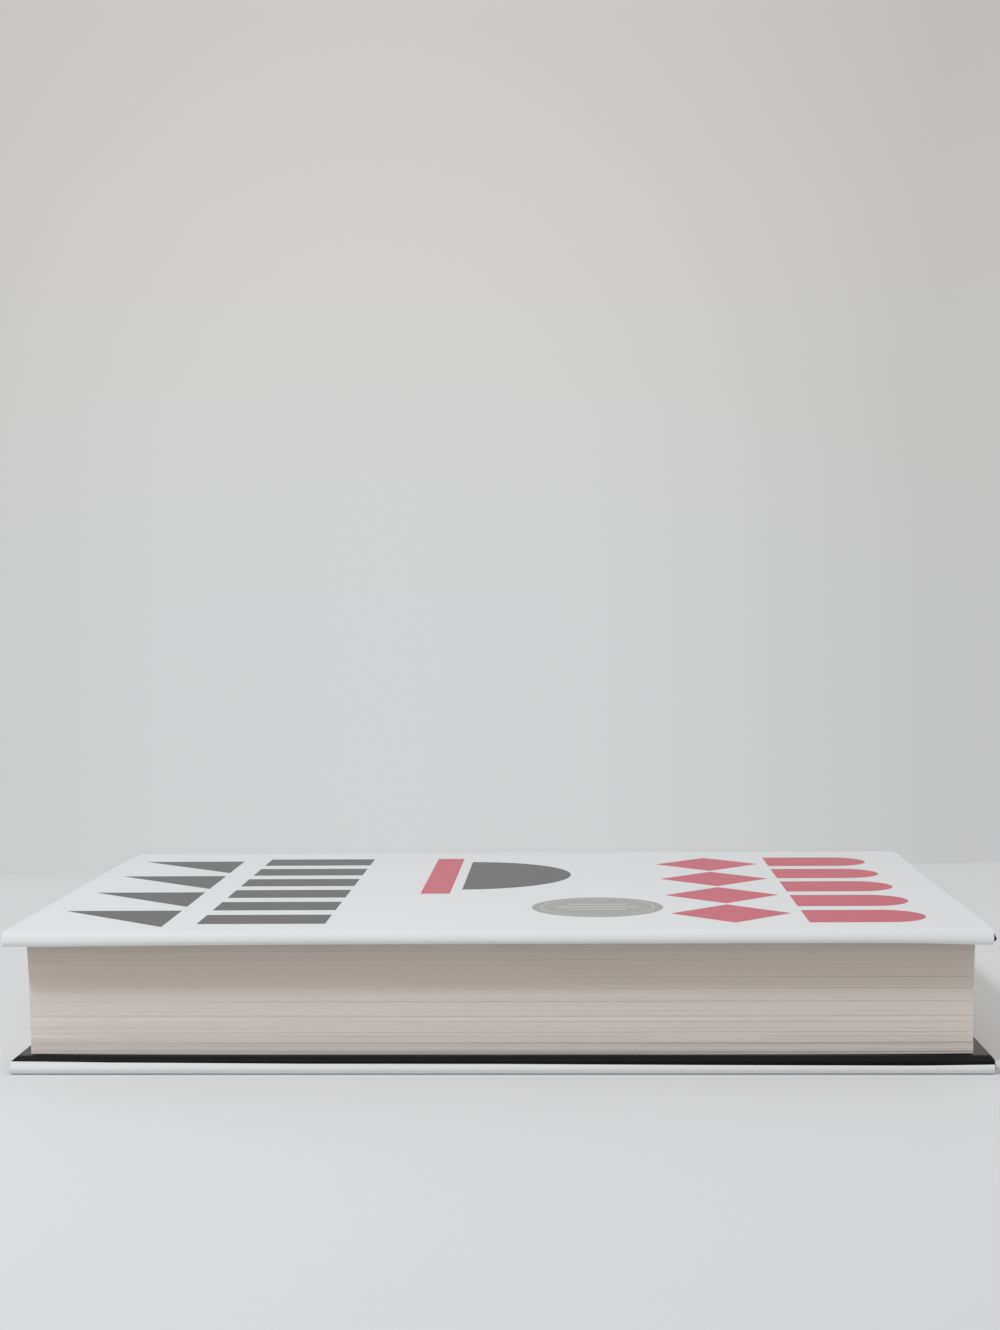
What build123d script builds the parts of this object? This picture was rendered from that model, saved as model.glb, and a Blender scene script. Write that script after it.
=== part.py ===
from build123d import *
import os
from math import asin, atan2, cos, degrees, sin, sqrt

# A jacketed hardcover book. It lies on its back cover, with its head toward +X,
# its fore-edge toward -Y and +Z up. Millimetres. The origin is on the table,
# under the middle of the closed book.

# Leaves
page_height = 232.6
page_width = 150.0
block_thickness = 28.2
fore_edge_hollow = 0.9
back_round = 2.0
shoulder_inset = 1.6
shoulder_depth = 4.0
block_lean = 2.8

# Endpapers
endpaper_thickness = 0.15
pastedown_margin = 4.0

# Spine linings and bands
mull_thickness = 0.25
mull_inset = 12.0
lining_thickness = 0.2
lining_inset = 0.5
band_bead_radius = 0.9
band_bead_sink = 0.5
band_end_inset = 1.2

# Case
board_thickness = 2.2
board_edge_radius = 0.5
head_square = 3.3
fore_edge_square = 6.5
covering_thickness = 0.25
turn_in_width = 15.0
mitre_gap = 0.4
mitre_start = 0.8
joint_width = 3.6
spine_strip_thickness = 0.8
spine_strip_inset = 1.2
groove_run = 1.2
crest_radius = 0.8
crest_ease = 0.1
cover_lean = 1.5
cover_skew = 0.5

# Jacket
jacket_thickness = 0.18
flap_width = 86.0
fold_ease = 0.1
joint_dip = 0.25

# Ink fields of the front panel
ink_thickness = 0.03
print_margin = 12.5
row_gap = 3.0
arch_count = 5
arch_gap = 7.0
arch_height = 30.0
lozenge_count = 4
lozenge_gap = 2.4
post_count = 6
post_gap = 8.0
post_height = 32.0
step_count = 4
step_gap = 7.0
step_height = 30.0
dome_x = -12.0
dome_radius = 30.0
dome_gap = 3.0
bar_width = 8.0

# Seal
seal_radius = 17.0
seal_thickness = 0.06
seal_gap = 1.6
seal_from_fold = 39.0

# Clearances
cover_play = 0.25
hinge_gap = 0.3
hinge_lift = 0.3
hinge_set = 0.3

# Depths of a cover's layers under its outer face, each at the layer's outer side
covering_depth = jacket_thickness
board_depth = covering_depth + covering_thickness
turn_in_depth = board_depth + board_thickness
pastedown_depth = turn_in_depth + covering_thickness
flap_depth = pastedown_depth + endpaper_thickness
cover_stack = flap_depth + jacket_thickness

# Overall heights and lengths
leaf_depth = cover_stack + cover_play + endpaper_thickness
book_thickness = 2 * leaf_depth + block_thickness
middle_height = book_thickness / 2
shoulder_height = leaf_depth - shoulder_inset
board_height = page_height + 2 * head_square
case_height = board_height + 2 * covering_thickness
jacket_height = case_height
board_width = (page_width - shoulder_depth - hinge_set - joint_width
               + fore_edge_square - covering_thickness)
fold_radius = flap_depth / 2

# The rounded back: concentric layers on an arc from shoulder to shoulder, tipped by the lean
back_chord = sqrt((block_thickness + 2 * shoulder_height) ** 2 + block_lean**2)
back_radius = ((back_chord / 2) ** 2 + back_round**2) / (2 * back_round)
lean_angle = atan2(block_lean, block_thickness + 2 * shoulder_height)
half_sweep = asin(back_chord / 2 / back_radius)
linings = mull_thickness + lining_thickness
strip_inner = back_radius + linings + covering_thickness
strip_outer = strip_inner + spine_strip_thickness
covering_outer = strip_outer + covering_thickness
jacket_outer = covering_outer + jacket_thickness

# Depths are first counted from the fore-edge of the middle leaves, and then centred
fold_reach = fore_edge_square + fold_ease + fold_radius + jacket_thickness / 2
back_out = page_width - (back_radius - back_round) * cos(lean_angle) + jacket_outer
fore_out = -fold_reach - cover_lean / 2
centre_shift = -(back_out + fore_out) / 2
back_centre_y = page_width + centre_shift - (back_radius - back_round) * cos(lean_angle)
back_centre_z = middle_height - (back_radius - back_round) * sin(lean_angle)


def level(side, depth):
    """Height of a layer that lies this deep under a cover's outer face."""
    return middle_height + side * (middle_height - depth)


def leaf_y(side, reach):
    """Depth position on the first (side 1) or last (side -1) leaf of the block."""
    return centre_shift + reach - side * block_lean / 2


def cover_y(side, reach):
    """Depth position on a cover, which is slipped by its share of the covers' lean."""
    return centre_shift + reach - side * cover_lean / 2


def hinge_y(side):
    """Depth position of a cover's hinge line."""
    return leaf_y(side, page_width - shoulder_depth - hinge_set)


def on_back(radius, angle):
    """Point on the rounded back, in the YZ plane."""
    return (back_centre_y + radius * cos(angle), back_centre_z + radius * sin(angle))


def back_at_height(radius, z):
    """Point of an arc of the rounded back at a given height."""
    return (back_centre_y + sqrt(radius**2 - (z - back_centre_z) ** 2), z)


def back_layer(inner, thickness, plane=Plane.YZ, inset=0):
    """Section of one layer round the back, which ends this far short of each shoulder."""
    sweep = half_sweep - inset / inner
    start = degrees(lean_angle - sweep)
    with BuildSketch(plane) as layer:
        with BuildLine():
            outer_arc = CenterArc((back_centre_y, back_centre_z), inner + thickness,
                                  start, degrees(2 * sweep))
            inner_arc = CenterArc((back_centre_y, back_centre_z), inner,
                                  start, degrees(2 * sweep))
            Line(outer_arc @ 0, inner_arc @ 0)
            Line(outer_arc @ 1, inner_arc @ 1)
        make_face()
    return layer.sketch


def finish(part, label):
    """Name a finished piece and write its file."""
    part.label = label
    export_step(part, f"parts/{label}.step")


os.makedirs("parts", exist_ok=True)

# The leaves are one solid: fore-edge hollowed, back rounded, shoulders backed for the boards
block_top = middle_height + block_thickness / 2
block_base = middle_height - block_thickness / 2
with BuildPart() as text_block:
    with BuildSketch(Plane.YZ):
        with BuildLine():
            fore_edge = SagittaArc((leaf_y(-1, 0), block_base), (leaf_y(1, 0), block_top),
                                   -fore_edge_hollow)
            top_face = Line(fore_edge @ 1, (leaf_y(1, page_width - shoulder_depth), block_top))
            top_shoulder = TangentArc(top_face @ 1, on_back(back_radius, lean_angle + half_sweep),
                                      tangent=(1, 0))
            base_face = Line(fore_edge @ 0, (leaf_y(-1, page_width - shoulder_depth), block_base))
            base_shoulder = TangentArc(base_face @ 1,
                                       on_back(back_radius, lean_angle - half_sweep),
                                       tangent=(1, 0))
            ThreePointArc(base_shoulder @ 1, on_back(back_radius, lean_angle), top_shoulder @ 1)
        make_face()
    extrude(amount=page_height / 2, both=True)
finish(text_block.part, "text_block")

# A flyleaf lies on each face of the block, from the fore-edge to the shoulder
for side, label in ((1, "front_flyleaf"), (-1, "back_flyleaf")):
    with BuildPart() as flyleaf:
        paper_base = block_top if side == 1 else block_base - endpaper_thickness
        with BuildSketch(Plane.XY.offset(paper_base)):
            with Locations((0, leaf_y(side, 0))):
                Rectangle(page_height, page_width - shoulder_depth,
                          align=(Align.CENTER, Align.MIN))
        extrude(amount=endpaper_thickness)
    finish(flyleaf.part, label)

# Gauze mull, glued on the back between the two bands' tapes
with BuildPart() as mull:
    extrude(back_layer(back_radius, mull_thickness), amount=page_height / 2 - mull_inset,
            both=True)
finish(mull.part, "spine_mull")

# Paper lining over the mull and the tapes
with BuildPart() as lining:
    extrude(back_layer(back_radius + mull_thickness, lining_thickness),
            amount=page_height / 2 - lining_inset, both=True)
finish(lining.part, "spine_paper_lining")

# Head and tail bands: a corded bead on the leaves' ends, on a tape glued to the back
for end, label in ((1, "head_band"), (-1, "tail_band")):
    with BuildPart() as band:
        with BuildLine(Plane.YZ.offset(end * (page_height / 2 + band_bead_radius))) as bead_path:
            bead_sweep = half_sweep - band_end_inset / back_radius
            CenterArc((back_centre_y, back_centre_z), back_radius - band_bead_sink,
                      degrees(lean_angle - bead_sweep), degrees(2 * bead_sweep))
        with BuildSketch(Plane(origin=bead_path.line @ 0, z_dir=bead_path.line % 0)):
            Circle(band_bead_radius)
        sweep(path=bead_path.line)
        tape_end = Plane.YZ.offset(end * (page_height / 2 - mull_inset))
        extrude(back_layer(back_radius, mull_thickness, tape_end),
                amount=end * (mull_inset + band_bead_radius))
    finish(band.part, label)

# Card inlay that stiffens the spine of the case, as tall as the boards
with BuildPart() as spine_strip:
    strip_base = Plane.YZ.offset(-board_height / 2)
    extrude(back_layer(strip_inner, spine_strip_thickness, strip_base, spine_strip_inset),
            amount=board_height)
finish(spine_strip.part, "spine_strip")


def groove_foot(side):
    """Where the covering leaves the groove for the shoulder, in the YZ plane."""
    return (leaf_y(side, page_width - shoulder_depth + groove_run),
            level(side, turn_in_depth - covering_thickness / 2))


# Covering of the spine: it lies in both grooves, climbs the shoulders and wraps the strip,
# and is turned in over the strip's ends
covering_mid = strip_outer + covering_thickness / 2
crest_depth = joint_dip + jacket_thickness + crest_ease + covering_thickness / 2
with BuildPart() as spine_covering:
    with BuildSketch(Plane.YZ.offset(-case_height / 2)):
        with BuildLine() as wrap:
            top_crest = back_at_height(covering_mid, level(1, crest_depth))
            base_crest = back_at_height(covering_mid, level(-1, crest_depth))
            Polyline((hinge_y(1) + hinge_gap / 2, groove_foot(1)[1]), groove_foot(1), top_crest)
            ThreePointArc(top_crest, on_back(covering_mid, lean_angle), base_crest)
            Polyline(base_crest, groove_foot(-1), (hinge_y(-1) + hinge_gap / 2,
                                                   groove_foot(-1)[1]))
            crests = wrap.vertices().sort_by(Axis.Y)
            fillet([crests[0], crests[-1]], crest_radius)
        trace(line_width=covering_thickness)
    extrude(amount=case_height)
    for end in (-1, 1):
        strip_end = Plane.YZ.offset(end * board_height / 2)
        turned_edge = Plane.YZ.offset(end * (board_height / 2 - turn_in_width))
        extrude(back_layer(strip_inner, spine_strip_thickness, strip_end, spine_strip_inset),
                amount=end * covering_thickness)
        extrude(back_layer(strip_inner - covering_thickness, covering_thickness, turned_edge,
                           spine_strip_inset),
                amount=end * (turn_in_width + covering_thickness))
finish(spine_covering.part, "spine_covering")

# Spine panel of the jacket: it bridges both grooves and lies on the covering of the back
jacket_mid = covering_outer + jacket_thickness / 2
bridge_depth = joint_dip + jacket_thickness / 2
with BuildPart() as jacket_spine:
    with BuildSketch(Plane.YZ.offset(-jacket_height / 2)):
        with BuildLine() as bridge:
            top_crest = back_at_height(jacket_mid, level(1, bridge_depth))
            base_crest = back_at_height(jacket_mid, level(-1, bridge_depth))
            Line((hinge_y(1) + hinge_gap / 2, level(1, bridge_depth)), top_crest)
            ThreePointArc(top_crest, on_back(jacket_mid, lean_angle), base_crest)
            Line(base_crest, (hinge_y(-1) + hinge_gap / 2, level(-1, bridge_depth)))
            corners = bridge.vertices().filter_by(lambda v: v.X > hinge_y(-1) + hinge_gap)
            fillet(corners, crest_radius + covering_thickness)
        trace(line_width=jacket_thickness)
    extrude(amount=jacket_height)
finish(jacket_spine.part, "jacket_spine")

# Two covers, each a board with its covering, pastedown and half of the jacket. The front one
# has slipped a little toward the tail, and the back one toward the head.
for side, name in ((1, "front"), (-1, "back")):
    cover_x = -side * cover_skew
    board_fore = cover_y(side, covering_thickness - fore_edge_square)
    board_spine = board_fore + board_width
    hinge_end = hinge_y(side) - hinge_gap / 2

    with BuildPart() as board:
        with BuildSketch(Plane.XY.offset(level(side, board_depth))):
            with Locations((cover_x, board_fore)):
                Rectangle(board_height, board_width, align=(Align.CENTER, Align.MIN))
        extrude(amount=-side * board_thickness)
        long_edges = board.edges().filter_by(Axis.X).group_by(Axis.Y)[0]
        end_edges = board.edges().filter_by(Axis.Y)
        fillet(long_edges + end_edges, board_edge_radius)
    finish(board.part, f"{name}_board")

    # Covering: a skin round the board, open on the inner face inside its turn-ins, with a
    # strip that lies in the groove as far as the hinge line
    with BuildPart() as covering:
        with BuildSketch(Plane.XY.offset(level(side, covering_depth))):
            with Locations((cover_x, board_fore - covering_thickness)):
                Rectangle(case_height, board_width + 2 * covering_thickness,
                          align=(Align.CENTER, Align.MIN))
        extrude(amount=-side * (pastedown_depth - covering_depth))
        long_edges = covering.edges().filter_by(Axis.X).group_by(Axis.Y)[0]
        end_edges = covering.edges().filter_by(Axis.Y)
        fillet(long_edges + end_edges, board_edge_radius + covering_thickness)
        add(board.part, mode=Mode.SUBTRACT)
        with BuildSketch(Plane.XY.offset(level(side, turn_in_depth))):
            with Locations((cover_x, board_fore + turn_in_width)):
                Rectangle(board_height - 2 * turn_in_width, board_width,
                          align=(Align.CENTER, Align.MIN))
        extrude(amount=-side * covering_thickness, mode=Mode.SUBTRACT)
        with BuildSketch(Plane.XY.offset(level(side, turn_in_depth))):
            with Locations((cover_x, board_spine)):
                Rectangle(case_height, hinge_end - board_spine, align=(Align.CENTER, Align.MIN))
        extrude(amount=side * covering_thickness)
        with BuildSketch(Plane.XY.offset(level(side, turn_in_depth))):
            mitre_middle = (turn_in_width + 2 * mitre_start) / 2
            for end in (-1, 1):
                corner_x = cover_x + end * (board_height / 2 - mitre_middle)
                with Locations(Location((corner_x, board_fore + mitre_middle, 0),
                                        (0, 0, end * 45))):
                    Rectangle(mitre_gap, sqrt(2) * turn_in_width)
        extrude(amount=-side * covering_thickness, mode=Mode.SUBTRACT)
    finish(covering.part, f"{name}_covering")

    # Pastedown: glued on the board inside the turn-ins and over their inner edges
    with BuildPart() as pastedown:
        with BuildSketch(Plane.XY.offset(level(side, pastedown_depth))):
            with Locations((0, board_fore + pastedown_margin)):
                Rectangle(page_height, hinge_end - board_fore - pastedown_margin,
                          align=(Align.CENTER, Align.MIN))
        extrude(amount=-side * endpaper_thickness)
        with BuildSketch(Plane.XY.offset(level(side, turn_in_depth))):
            with Locations((cover_x, board_fore + turn_in_width)):
                Rectangle(board_height - 2 * turn_in_width,
                          hinge_end - board_fore - turn_in_width,
                          align=(Align.CENTER, Align.MIN))
        extrude(amount=-side * covering_thickness)
    finish(pastedown.part, f"{name}_pastedown")

    # Jacket panel, rounded fold at the fore-edge and flap
    fold_y = cover_y(side, -fold_reach) + jacket_thickness / 2
    panel_z = level(side, jacket_thickness / 2)
    flap_z = level(side, flap_depth + jacket_thickness / 2)
    jacket_base = Plane.YZ.offset(cover_x - jacket_height / 2)
    with BuildPart() as jacket:
        with BuildSketch(jacket_base):
            with BuildLine():
                panel = Polyline((hinge_end, level(side, bridge_depth)),
                                 (board_spine + joint_width / 4, panel_z),
                                 (fold_y + fold_radius, panel_z))
                ThreePointArc(panel @ 1, (fold_y, panel_z - side * fold_radius),
                              (fold_y + fold_radius, flap_z))
                Line((fold_y + fold_radius, flap_z), (fold_y + flap_width, flap_z))
            trace(line_width=jacket_thickness)
        extrude(amount=jacket_height)
    finish(jacket.part, f"jacket_{name}")

    # Solid black ink on the flap's open side, up to the start of the fold
    with BuildPart() as flap_ink:
        with BuildSketch(Plane.XY.offset(level(side, cover_stack))):
            with Locations((cover_x, fold_y + fold_radius)):
                Rectangle(jacket_height, flap_width - fold_radius,
                          align=(Align.CENTER, Align.MIN))
        extrude(amount=-side * ink_thickness)
    finish(flap_ink.part, f"{name}_flap_ink")


# Place of the printing on the front panel, between its margins
panel_fore = cover_y(1, -fold_reach)
print_width = hinge_y(1) - panel_fore - 2 * print_margin
print_middle = (hinge_y(1) + panel_fore) / 2
print_head = jacket_height / 2 - cover_skew - print_margin
print_tail = -jacket_height / 2 - cover_skew + print_margin


def shared_out(count, gap):
    """Width and pitch of like shapes that fill a row across the printing."""
    pitch = (print_width + gap) / count
    return pitch - gap, pitch


# Red ink: a row of arches along the head, a row of lozenges and a bar
arch_width, arch_pitch = shared_out(arch_count, arch_gap)
lozenge_width, lozenge_pitch = shared_out(lozenge_count, lozenge_gap)
arch_foot = print_head - arch_height
lozenge_foot = arch_foot - row_gap - lozenge_width
dome_y = hinge_y(1) - print_margin - bar_width - dome_radius
with BuildPart() as red_ink:
    with BuildSketch(Plane.XY.offset(book_thickness)):
        with Locations((arch_foot, print_middle)):
            with GridLocations(arch_height, arch_pitch, 1, arch_count):
                Rectangle(arch_height - arch_width / 2, arch_width,
                          align=(Align.MIN, Align.CENTER))
                with Locations((arch_height - arch_width / 2, 0)):
                    Circle(arch_width / 2)
        with Locations((lozenge_foot + lozenge_width / 2, print_middle)):
            with GridLocations(lozenge_width, lozenge_pitch, 1, lozenge_count):
                RegularPolygon(lozenge_width / 2, 4)
        with Locations((dome_x - dome_gap, dome_y)):
            Rectangle(bar_width, 2 * (dome_radius + bar_width), align=(Align.MAX, Align.CENTER))
    extrude(amount=ink_thickness)
finish(red_ink.part, "front_ink_red")

# Charcoal ink: a dome over the red bar, a row of posts, and a row of steps along the tail
post_width, post_pitch = shared_out(post_count, post_gap)
step_width, step_pitch = shared_out(step_count, step_gap)
with BuildPart() as charcoal_ink:
    with BuildSketch(Plane.XY.offset(book_thickness)):
        with BuildLine():
            dome = CenterArc((dome_x, dome_y), dome_radius, -90, 180)
            Line(dome @ 0, dome @ 1)
        make_face()
        with Locations((print_tail + step_height + row_gap + post_height / 2, print_middle)):
            with GridLocations(post_height, post_pitch, 1, post_count):
                Rectangle(post_height, post_width)
        with Locations((print_tail + step_height / 2, print_middle)):
            with GridLocations(step_height, step_pitch, 1, step_count):
                Triangle(a=step_width, b=step_height, C=90, rotation=90)
    extrude(amount=ink_thickness)
finish(charcoal_ink.part, "front_ink_charcoal")

# Grey paper seal, stuck on the front panel near the fore-edge, under the lozenges
with BuildPart() as seal:
    with BuildSketch(Plane.XY.offset(book_thickness)):
        with Locations((lozenge_foot - seal_gap - seal_radius, panel_fore + seal_from_fold)):
            Circle(seal_radius)
    extrude(amount=seal_thickness)
finish(seal.part, "front_seal")
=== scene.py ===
import math
import random

import bpy
import numpy as np
from mathutils import Matrix, Vector


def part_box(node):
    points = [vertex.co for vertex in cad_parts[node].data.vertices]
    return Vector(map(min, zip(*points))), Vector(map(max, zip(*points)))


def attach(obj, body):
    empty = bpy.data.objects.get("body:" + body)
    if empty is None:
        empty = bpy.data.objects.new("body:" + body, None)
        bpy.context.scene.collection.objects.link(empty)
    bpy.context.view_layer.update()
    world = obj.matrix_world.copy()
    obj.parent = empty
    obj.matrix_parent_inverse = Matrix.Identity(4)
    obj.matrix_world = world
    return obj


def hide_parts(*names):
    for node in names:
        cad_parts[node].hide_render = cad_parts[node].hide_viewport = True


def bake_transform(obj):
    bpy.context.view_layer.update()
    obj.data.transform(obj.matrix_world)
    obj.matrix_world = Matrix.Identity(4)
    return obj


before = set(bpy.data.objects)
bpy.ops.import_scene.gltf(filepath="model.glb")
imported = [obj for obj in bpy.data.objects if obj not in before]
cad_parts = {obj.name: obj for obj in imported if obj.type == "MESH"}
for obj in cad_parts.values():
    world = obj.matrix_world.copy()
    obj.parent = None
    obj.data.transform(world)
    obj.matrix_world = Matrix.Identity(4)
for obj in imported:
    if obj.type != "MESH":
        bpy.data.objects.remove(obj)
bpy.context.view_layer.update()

# Leaves: 215 leaves of cream book wove, sewn in sections of sixteen, glued up, rounded,
# backed and trimmed. The trimmed fore-edge is hollow where the back is round. Lengths are
# in millimetres, in the frame's axes, and become metres where a mesh is made.
block_base = 3.61
block_top = 31.81
page_half = 116.3
fore_edge_base = -71.208
fore_edge_top = -74.008
fore_edge_hollow = 0.9
back_centre = (13.260, 12.137)
back_radius = 66.373
glue_room = 0.03
shoulder_run = 4.0
shoulder_rise = 2.01
leaf_count = 215
section_leaves = 16
base_sag = 0.22
sag_ends = 30
sag_fade = 40


def linear(colour):
    """Linear RGBA of an sRGB colour such as "C8BEB4"."""
    parts = [int(colour[i:i + 2], 16) / 255 for i in (0, 2, 4)]
    return [p / 12.92 if p <= 0.04045 else ((p + 0.055) / 1.055) ** 2.4 for p in parts] + [1.0]


def node(tree, kind, inputs=None, **settings):
    """Add a node with its settings; each input gets a value, or a link from an output."""
    made = tree.nodes.new(kind)
    for name, value in settings.items():
        setattr(made, name, value)
    for name, value in (inputs or {}).items():
        if isinstance(value, bpy.types.NodeSocket):
            tree.links.new(value, made.inputs[name])
        else:
            made.inputs[name].default_value = value
    return made


def finish(name, colour, roughness, **constants):
    """A material of one surface, with its tree, its shader and the place on the piece."""
    material = bpy.data.materials.new(name)
    material.use_nodes = True
    tree = material.node_tree
    shader = tree.nodes["Principled BSDF"]
    shader.inputs["Base Color"].default_value = linear(colour)
    shader.inputs["Roughness"].default_value = roughness
    for socket, value in constants.items():
        shader.inputs[socket.replace("_", " ")].default_value = value
    place = node(tree, "ShaderNodeTexCoord").outputs["Object"]
    return material, tree, shader, place


def piece(name, points, faces, materials, slots=None, crease=40):
    """A mesh object of these points, in millimetres, smooth up to the crease angle."""
    mesh = bpy.data.meshes.new(name)
    mesh.from_pydata((np.asarray(points, float) / 1000).tolist(), [], faces)
    for material in materials:
        mesh.materials.append(material)
    if slots is not None:
        mesh.polygons.foreach_set("material_index", np.asarray(slots, np.int32))
    mesh.shade_smooth()
    mesh.set_sharp_from_angle(angle=math.radians(crease))
    mesh.update()
    made = bpy.data.objects.new(name, mesh)
    bpy.context.scene.collection.objects.link(made)
    return made


def base_lift(x, y, share):
    """How far the lowest leaves sink on to the flap under them, as negative millimetres."""
    middle = 1 - np.abs(x / page_half) ** 5
    fore = np.clip((sag_ends - y) / sag_fade, 0, 1)
    return -base_sag * middle * fore * (1 - share) ** 3


def round_y(radius, z):
    """Depth position, at this height, of a layer of the rounded back."""
    return back_centre[0] + math.sqrt(radius**2 - (z - back_centre[1]) ** 2)


# Paper: cream book wove seen on its cut edges. The eye gets soft level streaks, a little
# warm, where leaves stand a hair forward or back of each other.
leaf_edge_paper, tree, shader, place = finish("cream_book_wove_edge", "E8DFD7", 0.88, IOR=1.47)
# Streaks are 0.5 mm high and 250 mm long: four leaves together, so that they show
stretched = node(tree, "ShaderNodeMapping", {"Vector": place, "Scale": (4, 4, 2000)})
streaks = node(tree, "ShaderNodeTexNoise", {"Vector": stretched.outputs["Vector"],
                                            "Scale": 1.0, "Detail": 2.0})
tone = node(tree, "ShaderNodeValToRGB", {"Fac": streaks.outputs["Fac"]})
tone.color_ramp.elements[0].position = 0.3
tone.color_ramp.elements[0].color = linear("E7DED6")
tone.color_ramp.elements[1].position = 0.62
tone.color_ramp.elements[1].color = linear("EAE1D9")
# Painted light and shade, by height: the lowest leaves are lighter and a little cooler, the
# upper ones darker and warmer, as in the cover's shadow
spot = node(tree, "ShaderNodeSeparateXYZ", {"Vector": place})
rise = node(tree, "ShaderNodeMapRange", {"Value": spot.outputs["Z"], "From Min": 0.004,
                                         "From Max": 0.024})
painted_light_and_shade = node(tree, "ShaderNodeValToRGB", {"Fac": rise.outputs["Result"]})
painted_light_and_shade.color_ramp.elements[0].color = (1.06, 1.065, 1.085, 1.0)
painted_light_and_shade.color_ramp.elements[1].color = (0.91, 0.895, 0.87, 1.0)
painted_light_and_shade.color_ramp.elements.new(0.4).color = (1.0, 1.005, 1.025, 1.0)
shaded = node(tree, "ShaderNodeMix", {0: 1.0, 6: tone.outputs["Color"],
                                      7: painted_light_and_shade.outputs["Color"]},
              data_type="RGBA", blend_type="MULTIPLY")
tree.links.new(shaded.outputs[2], shader.inputs["Base Color"])
# Fibres 0.3 mm across, ten times as coarse as real ones, so that they show
fibre = node(tree, "ShaderNodeTexNoise", {"Vector": place, "Scale": 3000, "Detail": 3.0})
bump = node(tree, "ShaderNodeBump", {"Height": fibre.outputs["Fac"], "Strength": 0.25,
                                     "Distance": 0.00003})
tree.links.new(bump.outputs["Normal"], shader.inputs["Normal"])

# Leaves differ in thickness, and sections and leaves stand a hair forward or back
draw = random.Random(21)
thicknesses = np.array([draw.uniform(0.86, 1.14) for _ in range(leaf_count)])
gaps = np.concatenate([[0], np.cumsum(thicknesses)]) / thicknesses.sum()
section_of = np.arange(leaf_count) // section_leaves
section_step = [draw.gauss(0, 0.02) for _ in range(section_of[-1] + 1)]
wave_turn = [draw.uniform(0, 2 * math.pi) for _ in range(section_of[-1] + 2)]
leaf_step = np.array([draw.gauss(0, 0.009) + section_step[s] for s in section_of])

# Some gaps stand open a little, mostly low in the block and toward the head. The lowest are
# the deepest, and of the others every third one shows
open_gaps = {}
gap_count = 36
lowest_share = 0.17
for gap in range(gap_count):
    share = draw.random() ** 2.4
    middle, reach = draw.uniform(-0.6, 1.2) * page_half, draw.uniform(60, 240)
    opened = 0.1 if gap % 3 else 0.7
    if share < lowest_share:
        opened = 1.2
    depth = draw.uniform(0.12, 0.4) * opened
    open_gaps[int(share * (leaf_count - 1))] = (middle, reach, depth)

fore_columns = 64
side_columns = 16
back_columns = 6
slit = 0.04
open_slit = 0.05
slit_at_ends = 0.6
fore_x = np.linspace(-page_half, page_half, fore_columns + 1)
# Places along a leaf's head and tail, closest together at its two edges
spread = (1 - np.cos(np.linspace(0, math.pi, side_columns + 1)[1:])) / 2
rings = []
for leaf in range(leaf_count):
    low, high = gaps[leaf], gaps[leaf + 1]
    turn = wave_turn[section_of[leaf]]
    # A section's edges wave by 0.03 mm every 145 mm, and by half of that every 57 mm
    wave = 0.03 * np.sin(fore_x / 23 + turn) + 0.015 * np.sin(fore_x / 9 + 3 * turn)
    # A leaf's edge is upright, and draws in near its top to leave the slit to the next leaf
    rows = [(low, 0.0), (low + 0.8 * (high - low), 0.0), (low + 0.9 * (high - low), slit)]
    if leaf in open_gaps:
        rows[1:] = [(low + 0.4 * (high - low), 0.0), (low + 0.7 * (high - low), open_slit)]
    if leaf == leaf_count - 1:
        rows = [(low, 0.0), (high, 0.0)]
    for share, groove in rows:
        inset = leaf_step[leaf] + wave + groove
        if groove and leaf in open_gaps:
            middle, reach, depth = open_gaps[leaf]
            inset = inset + depth * np.exp(-((fore_x - middle) / reach) ** 2)
        height = block_base + share * (block_top - block_base)
        bow = fore_edge_hollow * (1 - (2 * share - 1) ** 2)
        fore_y = fore_edge_base + share * (fore_edge_top - fore_edge_base) + bow
        back_z = height + (2 * share - 1) * shoulder_rise
        back_y = round_y(back_radius, back_z) - glue_room
        side_inset = 4 / 3 * abs(leaf_step[leaf]) + slit_at_ends * groove
        fore = [(x, fore_y + i, height + base_lift(x, fore_y, share))
                for x, i in zip(fore_x, inset)]
        sides = []
        for part in spread:
            y = fore_y + part * (back_y - fore_y)
            climb = max(0.0, (y - (back_y - shoulder_run)) / shoulder_run) ** 2
            sides.append((y, height + climb * (back_z - height)))
        head_side = [(page_half - side_inset, y, z + base_lift(page_half, y, share))
                     for y, z in sides]
        tail_side = [(-x, y, z) for x, y, z in reversed(head_side)]
        back = [(x, back_y, back_z)
                for x in np.linspace(page_half, -page_half, back_columns + 1)[1:-1]]
        rings.append(fore + head_side + back + tail_side)

points = np.array(rings)
row_count, ring_size = points.shape[:2]
faces = []
for row in range(row_count - 1):
    for k in range(ring_size):
        here, after = row * ring_size + k, row * ring_size + (k + 1) % ring_size
        faces.append((here, after, after + ring_size, here + ring_size))
# The first and last leaves are closed with strips from the tail to the head
for row, way in ((0, -1), (row_count - 1, 1)):
    first = row * ring_size
    heads = [first + fore_columns + k for k in range(side_columns + 1)]
    tails = [first + (ring_size - k) % ring_size for k in range(side_columns + 1)]
    strips = [[first + k for k in range(fore_columns + 1)] + [heads[1], tails[1]]]
    strips += [[tails[k], heads[k], heads[k + 1], tails[k + 1]]
               for k in range(1, side_columns - 1)]
    strips.append([tails[-2], heads[-2]] + [heads[-1] + k for k in range(back_columns + 1)])
    faces += [tuple(strip[::way]) for strip in strips]
leaves = piece("leaves", points.reshape(-1, 3), faces, [leaf_edge_paper], crease=25)
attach(leaves, "book_block")
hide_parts("text_block")


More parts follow.
